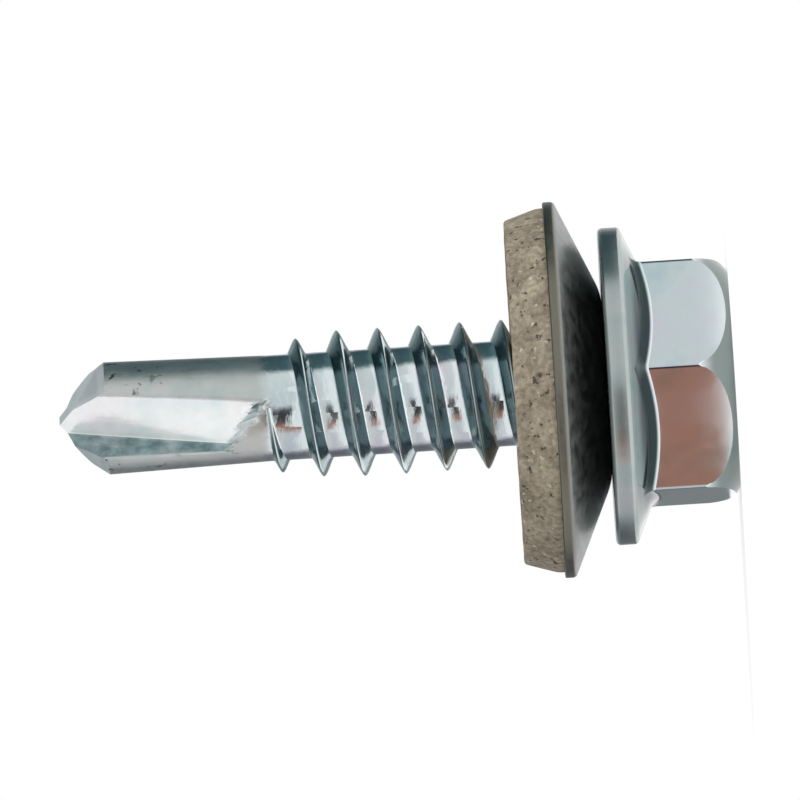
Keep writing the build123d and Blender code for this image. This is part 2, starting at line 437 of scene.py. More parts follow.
def divided(profile, longest):
    """The closed profile with its long runs divided."""
    result = []
    for i, start in enumerate(profile):
        end = profile[(i + 1) % len(profile)]
        parts = max(1, math.ceil(np.linalg.norm(end - start) / longest))
        for k in range(parts):
            result.append(start + (end - start) * k / parts)
    return np.array(result)


def smooth(share):
    """Smooth rise from 0 to 1."""
    share = np.clip(share, 0, 1)
    return share * share * (3 - 2 * share)


def arc(start, end, steps):
    """Angles in radians from start to end, which are in degrees."""
    return np.radians(np.linspace(start, end, steps))


def even_columns():
    """Angles of evenly spaced columns round the screw."""
    return np.arange(COLUMNS) * 2 * np.pi / COLUMNS


# ---------------------------------------------------------------- screw: head


def hexagon_radius(angles):
    """Distance from the axis to the rounded hexagon; its flats face 30, 90, 150 degrees and so on."""
    gamma = np.radians(np.mod(np.degrees(angles), 60) - 30)
    reach = (APOTHEM - CORNER_ROUND) / math.cos(math.radians(30))
    beta = np.radians(30) - np.abs(gamma)
    corner = reach * np.cos(beta) + np.sqrt(np.maximum(CORNER_ROUND**2 - (reach * np.sin(beta)) ** 2, 0))
    on_flat = np.abs(np.tan(gamma)) <= (1 - CORNER_ROUND / APOTHEM) * math.tan(math.radians(30))
    return np.where(on_flat, APOTHEM / np.cos(gamma), corner)


def head_columns():
    """Angles of the head's columns, closer together at the hexagon's corners."""
    per_side = COLUMNS // 6
    share = np.arange(per_side) / per_side
    side = 60 * (share - CORNER_CROWDING * np.sin(2 * np.pi * share) / (2 * np.pi))
    return np.radians(np.concatenate([side + 60 * i for i in range(6)]))


def crown_rings(hexagon, angles):
    """Rings over the flat top face and the crown, and the height of the crown's edge at each column."""
    inset = APOTHEM / math.cos(math.radians(30)) - TOP_RADIUS
    crown = (inset**2 + CROWN_HEIGHT**2) / (2 * inset)
    middle = TOP_RADIUS + inset - crown
    first = math.asin(CROWN_HEIGHT / crown)
    last = np.arccos(np.clip((hexagon - middle) / crown, -1, 1))
    bends = [np.full(COLUMNS, first)]
    for share in CROWN_RINGS:
        bends.append(first + (last - first) * smooth(CROWN_START + (1 - CROWN_START) * share))
    rings = [ring(radius, 0, angles) for radius in (*FACE_RINGS, TOP_RADIUS - EDGE_RING)]
    for bend in bends:
        rings.append(ring(middle + crown * np.cos(bend), CROWN_HEIGHT - crown * np.sin(bend), angles))
    return rings, CROWN_HEIGHT - crown * np.sin(last)


def side_rings(hexagon, edge_z, angles):
    """Rings down the flats and over the fillet at their foot."""
    slant = math.hypot(1, CONE_SLOPE)
    fillet_z = RIM_Z - (FLANGE_RADIUS - hexagon) * CONE_SLOPE + HEAD_FILLET * (CONE_SLOPE - slant)
    rings = [ring(hexagon, edge_z + CROWN_EDGE, angles)]
    for share in SIDE_RINGS:
        rings.append(ring(hexagon, edge_z + (fillet_z - edge_z) * share, angles))
    for bend in arc(180, 90 + CONE_ANGLE, FILLET_RINGS):
        radius = hexagon + HEAD_FILLET * (1 + math.cos(bend))
        rings.append(ring(radius, fillet_z + HEAD_FILLET * math.sin(bend), angles))
    return rings


def flange_rings(hexagon, angles):
    """Rings over the flange's cone, its rounded rim and its bearing face."""
    rings = []
    tangent = hexagon + HEAD_FILLET * (1 - CONE_SLOPE / math.hypot(1, CONE_SLOPE))
    for share in CONE_RINGS:
        radius = tangent + (FLANGE_RADIUS - RIM_ROUND - tangent) * share
        rings.append(ring(radius, RIM_Z - (FLANGE_RADIUS - radius) * CONE_SLOPE, angles))
    for bend in arc(CONE_ANGLE - 90, 0, ROUND_RINGS):
        radius = FLANGE_RADIUS - RIM_ROUND * (1 - math.cos(bend))
        rings.append(ring(radius, RIM_Z + RIM_ROUND * (RIM_ARC_RISE + math.sin(bend)), angles))
    for bend in arc(0, 90, ROUND_RINGS):
        radius = FLANGE_RADIUS - RIM_ROUND * (1 - math.cos(bend))
        rings.append(ring(radius, BEARING_Z - RIM_ROUND * (1 - math.sin(bend)), angles))
    for radius in (*BEARING_RINGS, CORE_RADIUS + NECK_FILLET + NECK_RING):
        rings.append(ring(radius, BEARING_Z, angles))
    return rings


def neck_rings(angles):
    """Rings over the fillet under the flange, on which the columns even out."""
    rings = []
    for share in np.linspace(0, 1, ROUND_RINGS):
        radius = CORE_RADIUS + NECK_FILLET * (1 - math.sin(math.pi / 2 * share))
        height = BEARING_Z + NECK_FILLET * (1 - math.cos(math.pi / 2 * share))
        rings.append(ring(radius, height, angles + (even_columns() - angles) * share))
    return rings


def head_rings():
    """Rings over the top face, the crown, the flats and the flange, down to the neck."""
    angles = head_columns()
    hexagon = hexagon_radius(angles)
    top, edge_z = crown_rings(hexagon, angles)
    sides = side_rings(hexagon, edge_z, angles)
    return top + sides + flange_rings(hexagon, angles) + neck_rings(angles)


# ---------------------------------------------------------------- screw: drill point


def drill_radius(depth):
    """Radius of the drill at a depth below the tip: broken corner, then a slight taper to the core."""
    cone = BREAK_RADIUS + (depth - BREAK_TOP) * BREAK_SLOPE
    share = np.clip((depth - TAPER_START) / (DRILL_LENGTH - TAPER_START), 0, 1)
    return np.minimum(cone, DRILL_RADIUS - (DRILL_RADIUS - CORE_RADIUS) * share)


def groove_run(root, degrees, radius):
    """Where a straight wall from the root meets the drill's circle."""
    way = np.array([math.cos(math.radians(degrees)), math.sin(math.radians(degrees))])
    along = root @ way
    return root + way * (-along + math.sqrt(along * along + radius * radius - root @ root))


def outline(depth):
    """Two-fold outline of the fluted drill at a depth, one point to a column; the groove faces +X."""
    radius = float(drill_radius(depth))
    share = min(max(depth / GROOVE_LENGTH, 0), 1)
    root = ROOT_AT_TIP + ROOT_SHIFT * share
    back = groove_run(root, BACK_ANGLE + BACK_OPENING * share, radius)
    face = groove_run(root, FACE_ANGLE, radius)
    bend_start = root + (face - root) / np.linalg.norm(face - root) * ROOT_ROUND
    bend_end = root + (back - root) / np.linalg.norm(back - root) * ROOT_ROUND
    bend = curve(bend_start, root, bend_end, np.linspace(0, 1, ROOT_COLUMNS)[:, None])
    face_wall = face + (bend[0] - face) * np.linspace(0, 1, FACE_COLUMNS, endpoint=False)[:, None]
    back_wall = bend[-1] + (back - bend[-1]) * np.linspace(0, 1, BACK_COLUMNS + 1)[1:, None]
    half = np.vstack([face_wall, bend, back_wall, land_points(face, back, radius)])
    return np.vstack([half, -half])


def land_points(face, back, radius):
    """Points on the round land between one groove's back edge and the next one's cutting edge."""
    start = math.atan2(back[1], back[0])
    end = math.atan2(face[1], face[0]) + math.pi
    angles = np.linspace(start, end, LAND_COLUMNS + 2)[1:-1]
    return radius * np.stack([np.cos(angles), np.sin(angles)], axis=1)


def round_outline(depth):
    """The same columns on the plain circle, below the grooves."""
    points = outline(depth)
    angles = np.arctan2(points[:, 1], points[:, 0])
    groove_angles = np.linspace(angles[0], angles[GROOVE_COLUMNS - 1], GROOVE_COLUMNS)
    angles[:GROOVE_COLUMNS] = groove_angles
    angles[HALF : HALF + GROOVE_COLUMNS] = groove_angles + math.pi
    return float(drill_radius(depth)) * np.stack([np.cos(angles), np.sin(angles)], axis=1)


def point_slope(xy):
    """Depth of the point's two flanks below the chisel edge, with a sign for each flank."""
    return xy[:, 0] * math.tan(POINT_RELIEF) + xy[:, 1] / math.tan(POINT_HALF_ANGLE)


def point_ring():
    """Top ring of the drill, where its outline meets the point's flanks, and the two chisel columns."""
    depth = np.full(COLUMNS, FIRST_DEPTH)
    for _ in range(POINT_PASSES):
        xy = np.array([outline(depth[c])[c] for c in range(COLUMNS)])
        depth = np.abs(point_slope(xy))
    slope = point_slope(xy)
    chisel = []
    for c in range(COLUMNS):
        after = (c + 1) % COLUMNS
        if slope[c] * slope[after] <= 0 and slope[c] != slope[after]:
            share = slope[c] / (slope[c] - slope[after])
            nearest = c if share < 0.5 else after
            xy[nearest] = xy[c] + (xy[after] - xy[c]) * share
            depth[nearest] = 0
            chisel.append(nearest)
    return xy, depth, chisel


def run_out_z(angles):
    """Height at which the grooves end on the drill's surface, by the angle from the groove."""
    first = END_ANGLES[0]
    off = (np.degrees(angles) - first) % 180 + first
    return np.interp(off, END_ANGLES, END_HEIGHTS)


def ragged(size, reach, seed):
    """Seeded roughness round the ring, smoothed over a reach in columns."""
    values = np.random.default_rng(seed).normal(0, 1, COLUMNS)
    kernel = np.exp(-(np.arange(-3 * reach, 3 * reach + 1) ** 2) / (2.0 * reach**2))
    wide = np.concatenate([values[-3 * reach :], values, values[: 3 * reach]])
    soft = np.convolve(wide, kernel, "valid")
    return size * soft / soft.std()


def groove_ends():
    """Which columns lie in a groove, and the height, wall height and burr of the ends at each column."""
    plain = round_outline(END_CIRCLE_DEPTH)
    in_groove = np.zeros(COLUMNS, bool)
    in_groove[:GROOVE_COLUMNS] = True
    in_groove[HALF : HALF + GROOVE_COLUMNS] = True
    roughness = ragged(*COARSE_RAGGED, SEED) + ragged(*FINE_RAGGED, SEED + 1)
    end_z = run_out_z(np.arctan2(plain[:, 1], plain[:, 0])) + in_groove * roughness
    deep = np.array([np.linalg.norm(outline(TIP_Z - end_z[c])[c]) for c in range(COLUMNS)])
    wall = END_WALL + END_WALL_SLOPE * np.maximum(drill_radius(TIP_Z - end_z) - deep, 0)
    burr = in_groove * np.abs(ragged(*BURR_RAGGED, SEED + 2))
    return in_groove, end_z, wall, burr


def row_heights(row, end_z, wall, top_z):
    """Heights of one row of the drill: over the grooves' ends, up the body or over the point."""
    break_z = TIP_Z - BREAK_DEPTH
    if row < len(END_ROWS):
        return end_z + END_ROWS[row] * (wall if END_ROWS[row] > 0 else 1)
    row -= len(END_ROWS)
    if row < BODY_ROWS:
        share = (row + 1) / BODY_ROWS
        return end_z + wall + (break_z - end_z - wall) * share
    share = (row - BODY_ROWS + 1) / POINT_ROWS
    return break_z + (top_z - break_z) * share


def row_points(z, in_groove, end_z, wall, burr):
    """Points of one row: the fluted outline, which closes to the plain circle over the grooves' ends."""
    closed = np.where(in_groove, np.clip((end_z + wall - z) / wall, 0, 1), 0)
    lip = burr * np.exp(-(((z - end_z) / BURR_WIDTH) ** 2))
    xy = np.zeros((COLUMNS, 2))
    for c in range(COLUMNS):
        depth = TIP_Z - z[c]
        cut = outline(depth)[c]
        whole = round_outline(depth)[c] if closed[c] > 0 else cut
        xy[c] = cut + (whole - cut) * closed[c]
        xy[c] *= 1 + lip[c] / np.linalg.norm(xy[c])
    return xy


def drill_rings():
    """Rings from the plain shank over the grooves' ends to the point, in the frame's own angles."""
    top_xy, top_depth, chisel = point_ring()
    in_groove, end_z, wall, burr = groove_ends()
    rows = len(END_ROWS) + BODY_ROWS + POINT_ROWS
    heights = [row_heights(row, end_z, wall, TIP_Z - top_depth) for row in range(rows)]
    outlines = [row_points(z, in_groove, end_z, wall, burr) for z in heights[:-1]] + [top_xy]
    turn = math.radians(FLUTE_ANGLE)
    rotation = np.array([[math.cos(turn), math.sin(turn)], [-math.sin(turn), math.cos(turn)]])
    return [np.column_stack([xy @ rotation, z]) for xy, z in zip(outlines, heights)], chisel


# ---------------------------------------------------------------- screw: thread and whole


def crest_share(turn, turns):
    """Height of the thread at this turn, as a share of its full height."""
    from_tip = turns - turn
    start = START_SHARE * smooth(from_tip / START_TURNS)
    run_in = (1 - START_SHARE) * smooth(from_tip / RUN_IN_TURNS)
    return np.minimum(start + run_in, smooth(turn / RUN_OUT_TURNS))


def ridge_profile(across, height):
    """Height of the thread's section above the core, with a rounded crest and a flared foot."""
    flank = height - (np.sqrt(across**2 + CREST_ROUND**2) - CREST_ROUND) / FLANK_SLOPE
    return 0.5 * (flank + np.sqrt(flank**2 + FOOT_FLARE**2))


def ridge_section(middle_z, angle, height):
    """Closed section of the thread, from one flared foot over the crest to the other and back in the core."""
    foot = CREST_ROUND + height * FLANK_SLOPE
    side = np.concatenate([foot + np.array(FLARE_STEPS), foot * np.array(FLANK_SHARES)])
    across = np.concatenate([-side, [0.0], side[::-1]])
    radius = CORE_RADIUS - RIDGE_SINK + ridge_profile(across, height)
    inside = CORE_RADIUS - RIDGE_DEPTH
    across = np.concatenate([across, [side[0], -side[0]]])
    return ring(np.concatenate([radius, [inside, inside]]), middle_z + across, angle)


def thread_shell():
    """Closed helical ridge whose foot runs into the core."""
    top_z = TIP_Z - DRILL_LENGTH
    turns = (top_z - BEARING_Z - NECK_LENGTH) / PITCH
    steps = int(turns * RIDGE_STEPS)
    turn = np.linspace(0, turns, steps + 1)
    wobble = 1
    for size, speed, shift in CREST_WAVES:
        wobble = wobble + size * np.sin(turn * speed + shift)
    height = CREST_HEIGHT * crest_share(turn, turns) * wobble
    angles = math.radians(FLUTE_ANGLE) + 2 * np.pi * (turn - turns)
    middle = top_z + PITCH * (turn - turns)
    sections = [ridge_section(*place) for place in zip(middle, angles, height)]
    count = len(sections[0])
    faces = []
    for i in range(steps):
        a = i * count
        b = a + count
        for j in range(count):
            k = (j + 1) % count
            faces.append((a + j, b + j, b + k, a + k))
    faces.append(tuple(range(count)))
    faces.append(tuple(steps * count + j for j in reversed(range(count))))
    return np.concatenate(sections), faces


def shank_rings(end):
    """Rings up the core, whose columns turn from even places to those of the drill's first ring."""
    even = even_columns()
    end_angles = np.unwrap(np.arctan2(end[:, 1], end[:, 0]))
    end_angles -= 2 * np.pi * round((end_angles[0] - even[0]) / (2 * np.pi))
    start_z = BEARING_Z + NECK_FILLET
    rings = []
    for share in np.linspace(*SHANK_SHARES, SHANK_ROWS):
        z = start_z + (end[:, 2] - start_z) * share
        rings.append(ring(CORE_RADIUS, z, even + (end_angles - even) * smooth(share)))
    return rings


def body_shell():
    """Closed head, shank and drill without the thread."""
    drill, chisel = drill_rings()
    low_angles = np.arctan2(drill[0][:, 1], drill[0][:, 0])
    shift = int(np.argmin(np.mod(low_angles + ANGLE_SLACK, 2 * np.pi)))
    drill = [np.roll(points, -shift, axis=0) for points in drill]
    first, second = sorted((c - shift) % COLUMNS for c in chisel)
    rings = head_rings() + shank_rings(drill[0]) + drill
    faces = [(0, 1 + (c + 1) % COLUMNS, 1 + c) for c in range(COLUMNS)]
    for r in range(len(rings) - 1):
        a = 1 + r * COLUMNS
        b = a + COLUMNS
        for c in range(COLUMNS):
            d = (c + 1) % COLUMNS
            faces.append((a + c, a + d, b + d, b + c))
    top = 1 + (len(rings) - 1) * COLUMNS
    faces.append(tuple(top + c for c in range(first, second + 1)))
    faces.append(tuple(top + c % COLUMNS for c in range(second, first + COLUMNS + 1)))
    return np.concatenate([np.zeros((1, 3))] + rings), faces


def add_screw(coat):
    """Whole screw as one closed mesh: the body joined with the thread."""
    body = mesh_object("screw_body", *body_shell())
    thread = mesh_object("screw_thread", *thread_shell())
    union = body.modifiers.new("thread", "BOOLEAN")
    union.operation = "UNION"
    union.solver = "EXACT"
    union.object = thread
    bpy.context.view_layer.update()
    evaluated = body.evaluated_get(bpy.context.evaluated_depsgraph_get())
    mesh = bpy.data.meshes.new_from_object(evaluated)
    bpy.data.objects.remove(thread)
    bpy.data.objects.remove(body)
    mesh.shade_smooth()
    mesh.set_sharp_from_angle(angle=SHARP_ANGLE)
    dressed(linked("screw_one_piece", mesh), "screw", "screw", coat)


# ---------------------------------------------------------------- washers


def add_cup(coat):
    """Dished steel cup of the sealing washer."""
    rise = (WASHER_RADIUS - WASHER_LAND) * STEEL_SLOPE
    corners = [
        (WASHER_HOLE, BEARING_Z, STEEL_ROUND),
        (WASHER_LAND, BEARING_Z, STEEL_BEND),
        (WASHER_RADIUS, BEARING_Z + rise, STEEL_ROUND),
        (WASHER_RADIUS, BEARING_Z + rise + STEEL_THICKNESS, STEEL_ROUND),
        (WASHER_LAND, BEARING_Z + STEEL_THICKNESS, STEEL_BEND),
        (WASHER_HOLE, BEARING_Z + STEEL_THICKNESS, STEEL_ROUND),
    ]
    points, faces = lathe(divided(rounded(corners, STEEL_CURVE_POINTS), STEEL_RUN), AROUND)
    cup = mesh_object("washer_cup", points, faces)
    cup.data.shade_smooth()
    dressed(cup, "washer", "steel_washer", coat)


def uneven(points):
    """Moulded rubber's slight waviness, only where it stands clear of the cup."""
    angles = np.arctan2(points[:, 1], points[:, 0])
    wave = np.zeros(len(points))
    random = np.random.default_rng(SEED)
    for turns in WAVE_TURNS:
        wave += random.normal(0, WAVE_SIZE) * np.sin(turns * angles + random.uniform(0, 2 * np.pi))
    free = smooth((points[:, 2] - CUP_RIM_Z - WAVE_CLEARANCE) / WAVE_FADE)
    scale = 1 + wave * free / np.hypot(points[:, 0], points[:, 1])
    rise = WAVE_RISE * wave * free
    return np.column_stack([points[:, 0] * scale, points[:, 1] * scale, points[:, 2] + rise])


def add_seal(coat):
    """Rubber ring bonded into the cup."""
    top = BEARING_Z + STEEL_THICKNESS
    band_z = top + (RUBBER_RADIUS - WASHER_LAND) * STEEL_SLOPE
    corners = [
        (RUBBER_BORE, top, SEAM_ROUND),
        (WASHER_LAND, top, LAND_ROUND),
        (RUBBER_RADIUS, band_z, SEAM_ROUND),
        (RUBBER_RADIUS, band_z + RUBBER_BAND, BAND_ROUND),
        (RUBBER_FOOT, FOOT_Z, RUBBER_ROUND),
        (RUBBER_FOOT_INNER, FOOT_Z, RUBBER_ROUND),
        (RUBBER_BORE, top + RUBBER_THICKNESS, RUBBER_ROUND),
    ]
    points, faces = lathe(divided(rounded(corners, RUBBER_CURVE_POINTS), RUBBER_RUN), AROUND)
    seal = mesh_object("seal_ring", uneven(points), faces)
    seal.data.shade_smooth()
    dressed(seal, "washer", "rubber_seal", coat)


# ---------------------------------------------------------------- material helpers


def material(name, colour, roughness, metallic=0.0):
    """Principled material with its node tree."""
    made = bpy.data.materials.new(name)
    made.use_nodes = True
    shader = made.node_tree.nodes["Principled BSDF"]
    shader.inputs["Base Color"].default_value = (*colour, 1)
    shader.inputs["Roughness"].default_value = roughness
    shader.inputs["Metallic"].default_value = metallic
    return made, made.node_tree, shader


def noise(tree, scale, detail, stretch=(1, 1, 1)):
    """Noise texture in object coordinates; scale is in lumps per millimetre."""
    place = tree.nodes.new("ShaderNodeTexCoord")
    mapping = tree.nodes.new("ShaderNodeMapping")
    mapping.inputs["Scale"].default_value = stretch
    texture = tree.nodes.new("ShaderNodeTexNoise")
    texture.inputs["Scale"].default_value = scale / MM
    texture.inputs["Detail"].default_value = detail
    tree.links.new(place.outputs["Object"], mapping.inputs["Vector"])
    tree.links.new(mapping.outputs["Vector"], texture.inputs["Vector"])
    return texture.outputs["Fac"]


def ramp(tree, value, stops):
    """Colour ramp over a value; stops are (place, colour)."""
    node = tree.nodes.new("ShaderNodeValToRGB")
    elements = node.color_ramp.elements
    while len(elements) < len(stops):
        elements.new(0.5)
    for element, (place, colour) in zip(elements, stops):
        element.position = place
        element.color = (*colour, 1)
    tree.links.new(value, node.inputs["Fac"])
    return node.outputs["Color"]


def bump(tree, shader, value, strength, distance):
    """Bump from a value; distance is in millimetres."""
    node = tree.nodes.new("ShaderNodeBump")
    node.inputs["Strength"].default_value = strength
    node.inputs["Distance"].default_value = distance * MM
    tree.links.new(value, node.inputs["Height"])
    tree.links.new(node.outputs["Normal"], shader.inputs["Normal"])


def dot(tree, value, direction):
    """Share of a direction along a fixed one."""
    node = tree.nodes.new("ShaderNodeVectorMath")
    node.operation = "DOT_PRODUCT"
    node.inputs[1].default_value = direction
    tree.links.new(value, node.inputs[0])
    return node.outputs["Value"]


def math_node(tree, operation, *values):
    """Math node; each input may be a number or a socket."""
    node = tree.nodes.new("ShaderNodeMath")
    node.operation = operation
    for socket, value in zip(node.inputs, values):
        if isinstance(value, (int, float)):
            socket.default_value = value
        else:
            tree.links.new(value, socket)
    return node.outputs[0]


def times(tree, first, second):
    """Product of two values."""
    return math_node(tree, "MULTIPLY", first, second)


def plus(tree, first, second):
    """Sum of two values."""
    return math_node(tree, "ADD", first, second)


def flip(tree, share):
    """1 minus a share."""
    return math_node(tree, "SUBTRACT", 1.0, share)


def mixed(tree, share, first, second, blend="MIX"):
    """Mix of two colours, each a colour or a socket, by a share that is a number or a socket."""
    node = tree.nodes.new("ShaderNodeMix")
    node.data_type = "RGBA"
    node.blend_type = blend
    for name, value in (("Factor", share), ("A", first), ("B", second)):
        if isinstance(value, (int, float)):
            node.inputs[name].default_value = value
        elif isinstance(value, tuple):
            node.inputs[name].default_value = (*value, 1)
        else:
            tree.links.new(value, node.inputs[name])
    return node.outputs["Result"]


def ranged(tree, value, low, high, start=0.0, stop=1.0):
    """Value from low to high, mapped smoothly to start to stop."""
    node = tree.nodes.new("ShaderNodeMapRange")
    node.interpolation_type = "SMOOTHSTEP"
    for name, number in (("From Min", low), ("From Max", high), ("To Min", start), ("To Max", stop)):
        node.inputs[name].default_value = number
    tree.links.new(value, node.inputs["Value"])
    return node.outputs["Result"]


def grey(tree, value):
    """Grey colour of a value."""
    node = tree.nodes.new("ShaderNodeCombineXYZ")
    for socket in node.inputs:
        tree.links.new(value, socket)
    return node.outputs[0]


def object_parts(tree):
    """Height and distance from the axis in millimetres, and how far the surface faces the tip."""
    place = tree.nodes.new("ShaderNodeTexCoord")
    split = tree.nodes.new("ShaderNodeSeparateXYZ")
    tree.links.new(place.outputs["Object"], split.inputs[0])
    height = times(tree, split.outputs["Z"], 1 / MM)
    across = times(tree, split.outputs["X"], split.outputs["X"])
    along = times(tree, split.outputs["Y"], split.outputs["Y"])
    radius = times(tree, math_node(tree, "SQRT", plus(tree, across, along)), 1 / MM)
    facing = dot(tree, place.outputs["Normal"], (0, 0, 1))
    return height, radius, facing


# ---------------------------------------------------------------- materials


def head_colour(tree, height, radius, facing, rim):
    """Bright flats, with painted shade on the side away from the tip, painted shade in the fillet and a
    greyer rim.
    """
    # painted shade where the head's faces turn away from the tip
    shaded = ranged(tree, facing, *SHADED_FACING)
    # painted shade in the fillet at the foot of the flats
    fillet = times(tree, ranged(tree, facing, *FILLET_FACING), ranged(tree, height, *FILLET_HEIGHTS))
    fillet = times(tree, fillet, flip(tree, ranged(tree, radius, *FILLET_RADII)))
    colour = mixed(tree, shaded, HEAD_BRIGHT, HEAD_SHADED)
    colour = mixed(tree, fillet, colour, FILLET_PAINTED_SHADE)
    return mixed(tree, rim, colour, RIM_GREY)


def shank_colour(tree, radius, facing):
    """Bright core, with painted teal shade on the thread flanks and a painted highlight toward the crest."""
    steep = ranged(tree, math_node(tree, "ABSOLUTE", facing), *STEEP_FACING)
    # painted shade on the steep flanks, giving way to a painted highlight near the crest
    flank = mixed(tree, ranged(tree, radius, *CREST_RADII), FLANK_PAINTED_SHADE, CREST_PAINTED_HIGHLIGHT)
    return mixed(tree, steep, CORE_BRIGHT, flank)


def cutting_wall(tree):
    """1 on the grooves' cutting walls, 0 on their back walls, by the way that they face."""
    turn = math.radians(FLUTE_ANGLE + 90 + FACE_ANGLE)
    normal = tree.nodes.new("ShaderNodeTexCoord").outputs["Normal"]
    facing = dot(tree, normal, (math.cos(turn), math.sin(turn), 0))
    return ranged(tree, math_node(tree, "ABSOLUTE", facing), *CUTTING_FACING)


def drill_colour(tree, land, cutting, point):
    """Back walls bright with painted light, mottled cutting walls, warm lands and a pale point."""
    mottle = ramp(tree, noise(tree, *MOTTLE_NOISE), CUTTING_WALL)
    groove = mixed(tree, cutting, BACK_WALL_PAINTED_LIGHT, mottle)
    colour = mixed(tree, land, groove, LAND_WARM)
    return mixed(tree, point, colour, POINT_PALE)


def zinc_steel():
    """Bright zinc plate with a blue-green tint: head, shank and drill each in its own shades, with painted
    shade, painted highlights and painted light among them.
    """
    made, tree, shader = material("zinc_plate", (0.8, 0.83, 0.85), 0.2, 1.0)
    height, radius, facing = object_parts(tree)
    above_neck = ranged(tree, height, BEARING_Z - NECK_BLEND, BEARING_Z + NECK_BLEND)
    on_drill = ranged(tree, height, *(TIP_Z - depth for depth in DRILL_DEPTHS))
    below_washer = flip(tree, ranged(tree, height, BEARING_Z - RIM_BLEND, BEARING_Z + RIM_BLEND))
    rim = times(tree, ranged(tree, height, RIM_Z - RIM_START, RIM_Z), below_washer)
    land = ranged(tree, radius, *LAND_RADII)
    cutting = cutting_wall(tree)
    point = ranged(tree, facing, *POINT_FACING)
    near_tip = ranged(tree, height, *(TIP_Z - depth for depth in PIT_DEPTHS))
    pits = ranged(tree, noise(tree, *PIT_NOISE), *PIT_LEVELS)
    pitted = times(tree, times(tree, pits, near_tip), land)

    head = head_colour(tree, height, radius, facing, rim)
    zones = mixed(tree, above_neck, head, shank_colour(tree, radius, facing))
    zones = mixed(tree, on_drill, zones, drill_colour(tree, land, cutting, point))
    tint = ramp(tree, noise(tree, *TINT_NOISE), ZINC_TINT)
    colour = mixed(tree, 1.0, tint, zones, "MULTIPLY")
    tree.links.new(mixed(tree, pitted, colour, PIT_DARK), shader.inputs["Base Color"])

    # matt back walls show their painted light; the point turns matt with wear
    back_wall = times(tree, flip(tree, land), flip(tree, cutting))
    wear_and_painted_light = math_node(tree, "MAXIMUM", times(tree, back_wall, BACK_WALL_MATT_SHARE), times(tree, point, POINT_WEAR))
    tree.links.new(flip(tree, times(tree, wear_and_painted_light, on_drill)), shader.inputs["Metallic"])

    grain = noise(tree, *GRAIN_NOISE)
    rough = zinc_roughness(tree, grain, above_neck, on_drill, land, rim)
    tree.links.new(rough, shader.inputs["Roughness"])
    bump(tree, shader, zinc_relief(tree, grain, height, above_neck, on_drill, pitted), *ZINC_BUMP)
    return made


def zinc_roughness(tree, grain, above_neck, on_drill, land, rim):
    """Smooth head, grainier shank, duller drill and rim."""
    rough = times(tree, ranged(tree, grain, *GRAIN_LEVELS, *GRAIN_ROUGHNESS), above_neck)
    sheen = ranged(tree, noise(tree, *SHEEN_NOISE), *GRAIN_LEVELS, *SHEEN_ROUGHNESS)
    rough = plus(tree, rough, sheen)
    duller = plus(tree, times(tree, land, LAND_ROUGHNESS), DRILL_ROUGHNESS)
    rough = plus(tree, rough, times(tree, on_drill, duller))
    return plus(tree, rough, times(tree, rim, RIM_ROUGHNESS))


def zinc_relief(tree, grain, height, above_neck, on_drill, pitted):
    """Fine grain, streaks along the drill, waves of the rolled core, and pits near the tip."""
    polish = ranged(tree, height, BEARING_Z - NECK_BLEND, BEARING_Z + NECK_BLEND, HEAD_GRAIN, 1.0)
    relief = times(tree, grain, polish)
    relief = plus(tree, relief, times(tree, noise(tree, *BROAD_NOISE), BROAD_RELIEF))
    relief = plus(tree, relief, times(tree, noise(tree, *STREAK_NOISE), on_drill))
    relief = math_node(tree, "SUBTRACT", relief, times(tree, pitted, PIT_RELIEF))
    on_shank = times(tree, above_neck, flip(tree, on_drill))
    rolled = times(tree, noise(tree, *ROLLED_NOISE), on_shank)
    return plus(tree, relief, times(tree, rolled, ROLLED_RELIEF))


def washer_steel():
    """Duller plated steel with painted shade on the side of the flange, darker toward the middle, and olive
    on the rim and on the seal's side.
    """
    made, tree, shader = material("washer_plate", (0.4, 0.42, 0.4), 0.28, 1.0)
    _, radius, facing = object_parts(tree)
    grain = noise(tree, *STEEL_NOISE)
    shade = grey(tree, ranged(tree, radius, *CUP_SHADE_RADII, *CUP_SHADE))
    cone = mixed(tree, 1.0, ramp(tree, grain, CONE_STEEL), shade, "MULTIPLY")
    colour = mixed(tree, ranged(tree, facing, *CONE_FACING), RIM_OLIVE, cone)
    tree.links.new(colour, shader.inputs["Base Color"])
    tree.links.new(ranged(tree, grain, *GRAIN_LEVELS, *STEEL_ROUGHNESS), shader.inputs["Roughness"])
    bump(tree, shader, grain, *STEEL_BUMP)
    return made


def seal_rubber():
    """Matt khaki rubber: soft mottling, dark specks and pits, and a few pale grains."""
    made, tree, shader = material("rubber", (0.3, 0.27, 0.2), 0.85)
    mottle = ramp(tree, noise(tree, *RUBBER_MOTTLE_NOISE), RUBBER_MOTTLE)
    fine = ramp(tree, noise(tree, *RUBBER_GRAIN_NOISE), RUBBER_GRAIN)
    colour = mixed(tree, 1.0, mottle, fine, "MULTIPLY")
    specks = ranged(tree, noise(tree, *SPECK_NOISE), *SPECK_LEVELS)
    colour = mixed(tree, specks, colour, SPECK_DARK)
    pale = ranged(tree, noise(tree, *PALE_NOISE), *PALE_LEVELS)
    colour = mixed(tree, pale, colour, SPECK_PALE)
    tree.links.new(colour, shader.inputs["Base Color"])
    relief = math_node(tree, "SUBTRACT", noise(tree, *RUBBER_RELIEF_NOISE), times(tree, specks, SPECK_RELIEF))
    bump(tree, shader, relief, *RUBBER_BUMP)
    return made


# ---------------------------------------------------------------- studio


def seen_ray(tree):
    """1 for camera, glossy and transmission rays."""
    path = tree.nodes.new("ShaderNodeLightPath")
    seen = math_node(tree, "MAXIMUM", path.outputs["Is Camera Ray"], path.outputs["Is Glossy Ray"])
    return math_node(tree, "MAXIMUM", seen, path.outputs["Is Transmission Ray"])


